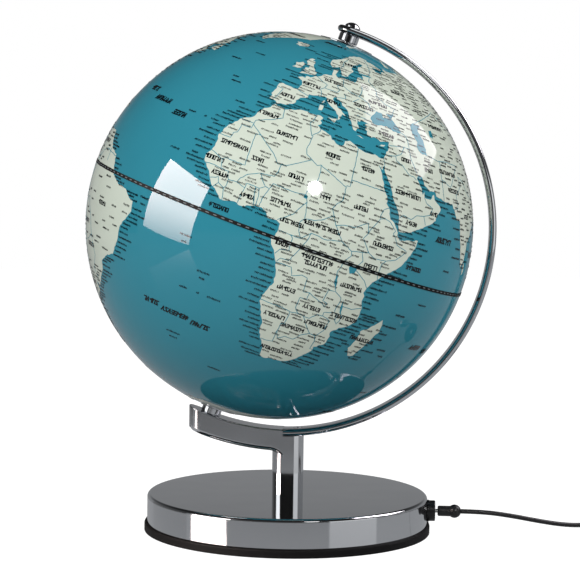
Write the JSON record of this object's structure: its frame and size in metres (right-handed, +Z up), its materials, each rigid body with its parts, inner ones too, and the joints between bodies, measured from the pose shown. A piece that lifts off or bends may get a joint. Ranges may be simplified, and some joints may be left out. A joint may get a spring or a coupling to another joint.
{
  "type": "desktop globe on stand",
  "caption": "Lit desktop globe whose printed ball turns on a tilted axis between a flat meridian band and a short arm, on a round weighted base with a low-voltage lead.",
  "frame": {"origin": "middle of the round foot on the table", "axes": "+Z up, +X towards the lead socket and the side the north pole leans to, -Y towards the viewer"},
  "size_m": [0.4006, 0.2506, 0.3298],
  "materials": {
    "chrome_base": "bright chrome plate",
    "chrome_casting": "bright chrome plate",
    "chrome_band": "bright chrome plate",
    "chrome_fittings": "bright chrome plate",
    "foot_rubber": "matt black",
    "ballast": "as cast, painted grey",
    "plate_plastic": "fine grain",
    "screw_steel": "zinc plated",
    "axle_steel": "drawn tube",
    "map_print": "printed sea and land under clear gloss",
    "tape_print": "black and white chequer",
    "inner_plastic": "natural white moulding",
    "lamp_diffuser": "opal",
    "socket_plastic": "black moulding",
    "nut_brass": "turned",
    "plug_plastic": "black moulding",
    "plug_metal": "nickel plated",
    "lead_jacket": "matt black jacket",
    "tie_strap": "black strap"
  },
  "bodies": {
    "stand": {"base_cover": "chrome_base", "arm_post": "chrome_casting", "meridian_band": "chrome_band", "north_ferrule": "chrome_fittings", "south_ferrule": "chrome_fittings", "north_pivot": "chrome_fittings", "band_screw": "chrome_fittings", "foot_ring": "foot_rubber", "base_weight": "ballast", "bottom_plate": "plate_plastic", "post_screws": "screw_steel", "plate_screws": "screw_steel", "south_axle": "axle_steel", "lamp_holder": "inner_plastic", "led_lamp": "lamp_diffuser", "dc_socket": "socket_plastic", "socket_nut": "nut_brass", "plug_body": "plug_plastic", "usb_plug_body": "plug_plastic", "plug_barrel": "plug_metal", "usb_plug_shell": "plug_metal", "lead_run": "lead_jacket", "lead_coil": "lead_jacket", "lamp_lead": "lead_jacket", "lead_tie": "tie_strap"},
    "globe": {"north_hemisphere": "map_print", "south_hemisphere": "map_print", "join_ring": "inner_plastic", "equator_band": "tape_print", "north_pole_cap": "chrome_fittings", "south_pole_cap": "chrome_fittings", "north_bush": "inner_plastic", "south_bush": "inner_plastic"}
  },
  "joints": [
    {"name": "globe_spin", "type": "hinge", "parent": "stand", "child": "globe", "pos_m": [-0.0075, 0, 0.19829], "axis": [0.3338, 0, 0.9426], "continuous": true}
  ]
}
